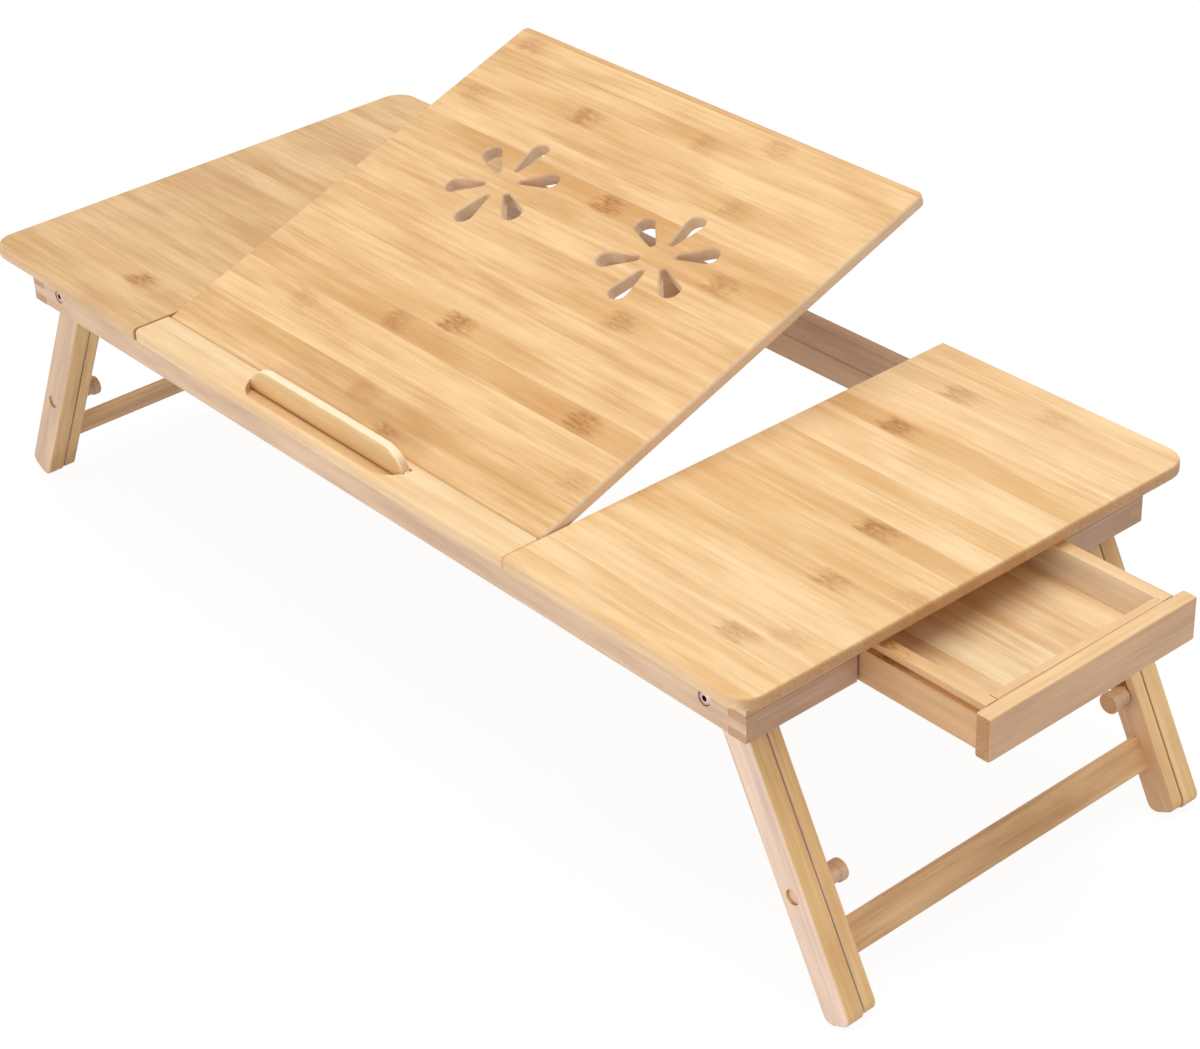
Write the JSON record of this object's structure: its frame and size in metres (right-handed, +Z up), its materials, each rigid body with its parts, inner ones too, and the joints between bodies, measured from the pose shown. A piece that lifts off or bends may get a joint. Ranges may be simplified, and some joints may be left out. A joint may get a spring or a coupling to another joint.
{
  "type": "laptop table",
  "caption": "Folding lap table with a tilting centre panel on a notched prop, a fold-up stopper, a side drawer and splayed folding legs that slide to set the height.",
  "frame": {"origin": "on the floor, under the middle of the table's outer box with the drawer as far open as shown", "axes": "+X along the top towards the drawer, +Y from the user's side to the back, +Z up"},
  "size_m": [0.844, 0.339, 0.3062],
  "materials": {
    "top_bamboo": "satin lacquer",
    "frame_bamboo": "satin lacquer",
    "leg_bamboo": "satin lacquer",
    "drawer_bamboo": "satin lacquer",
    "turned_bamboo": "satin lacquer",
    "pin_steel": "zinc plated",
    "washer_plastic": "matte"
  },
  "bodies": {
    "table": {"left_panel": "top_bamboo", "right_panel": "top_bamboo", "front_strip": "top_bamboo", "stopper_pin": "pin_steel", "tilt_pins": "pin_steel", "tilt_washers": "washer_plastic", "prop_rack_left": "frame_bamboo", "prop_rack_right": "frame_bamboo", "front_rail": "frame_bamboo", "back_rail": "frame_bamboo", "left_rail": "frame_bamboo", "right_rail_front": "frame_bamboo", "right_rail_back": "frame_bamboo", "left_batten": "frame_bamboo", "right_batten": "frame_bamboo", "panel_screws": "pin_steel", "pivot_bolts": "pin_steel", "pivot_washers": "pin_steel", "pivot_nuts": "pin_steel", "drawer_guide_front": "frame_bamboo", "drawer_guide_back": "frame_bamboo", "drawer_runner_front": "frame_bamboo", "drawer_runner_back": "frame_bamboo", "drawer_stop": "frame_bamboo"},
    "tilt_panel": {"tilt_panel": "top_bamboo", "prop_block_left": "frame_bamboo", "prop_block_right": "frame_bamboo", "prop_rod": "pin_steel"},
    "prop": {"prop_arm_left": "frame_bamboo", "prop_arm_right": "frame_bamboo", "prop_foot_bar": "turned_bamboo"},
    "stopper": {"stopper": "turned_bamboo"},
    "drawer": {"drawer_front": "drawer_bamboo", "drawer_lining": "drawer_bamboo", "drawer_side_front": "drawer_bamboo", "drawer_side_back": "drawer_bamboo", "drawer_back": "drawer_bamboo", "drawer_floor": "drawer_bamboo"},
    "left_legs": {"left_front_outer_leg": "leg_bamboo", "left_back_outer_leg": "leg_bamboo"},
    "left_extension": {"left_front_inner_leg": "leg_bamboo", "left_back_inner_leg": "leg_bamboo", "left_stretcher": "leg_bamboo", "left_guide_dowels": "turned_bamboo"},
    "right_legs": {"right_front_outer_leg": "leg_bamboo", "right_back_outer_leg": "leg_bamboo"},
    "right_extension": {"right_front_inner_leg": "leg_bamboo", "right_back_inner_leg": "leg_bamboo", "right_stretcher": "leg_bamboo", "right_guide_dowels": "turned_bamboo"},
    "left_front_peg": {"left_front_peg": "turned_bamboo"},
    "left_back_peg": {"left_back_peg": "turned_bamboo"},
    "right_front_peg": {"right_front_peg": "turned_bamboo"},
    "right_back_peg": {"right_back_peg": "turned_bamboo"}
  },
  "joints": [
    {"name": "panel_tilt", "type": "hinge", "parent": "table", "child": "tilt_panel", "pos_m": [-0.02504, -0.1401, 0.19924], "axis": [1, 0, 0], "range_deg": [-19.6, 13.3]},
    {"name": "prop_swing", "type": "hinge", "parent": "tilt_panel", "child": "prop", "pos_m": [-0.02504, 0.05207, 0.25583], "axis": [1, 0, 0], "range_deg": [-12.84, 8.78]},
    {"name": "stopper_fold", "type": "hinge", "parent": "table", "child": "stopper", "pos_m": [-0.02504, -0.15225, 0.19974], "axis": [1, 0, 0], "range_deg": [0, 90]},
    {"name": "drawer_slide", "type": "slide", "parent": "table", "child": "drawer", "axis": [1, 0, 0], "range_m": [-0.087, 0.02]},
    {"name": "left_leg_fold", "type": "hinge", "parent": "table", "child": "left_legs", "pos_m": [-0.32795, 0, 0.17274], "axis": [0, -1, 0], "range_deg": [0, 117]},
    {"name": "left_leg_extension", "type": "slide", "parent": "left_legs", "child": "left_extension", "axis": [-0.454, 0, -0.891], "range_m": [0, 0.075]},
    {"name": "left_front_peg_pull", "type": "slide", "parent": "left_legs", "child": "left_front_peg", "axis": [0, 1, 0], "range_m": [0, 0.016]},
    {"name": "left_back_peg_pull", "type": "slide", "parent": "left_legs", "child": "left_back_peg", "axis": [0, -1, 0], "range_m": [0, 0.016]},
    {"name": "right_leg_fold", "type": "hinge", "parent": "table", "child": "right_legs", "pos_m": [0.29326, 0, 0.17274], "axis": [0, 1, 0], "range_deg": [0, 117]},
    {"name": "right_leg_extension", "type": "slide", "parent": "right_legs", "child": "right_extension", "axis": [0.454, 0, -0.891], "range_m": [0, 0.075]},
    {"name": "right_front_peg_pull", "type": "slide", "parent": "right_legs", "child": "right_front_peg", "axis": [0, 1, 0], "range_m": [0, 0.016]},
    {"name": "right_back_peg_pull", "type": "slide", "parent": "right_legs", "child": "right_back_peg", "axis": [0, -1, 0], "range_m": [0, 0.016]}
  ],
  "couplings": [
    {"joint": "prop_swing", "follows": "panel_tilt", "ratio": 0.645}
  ]
}
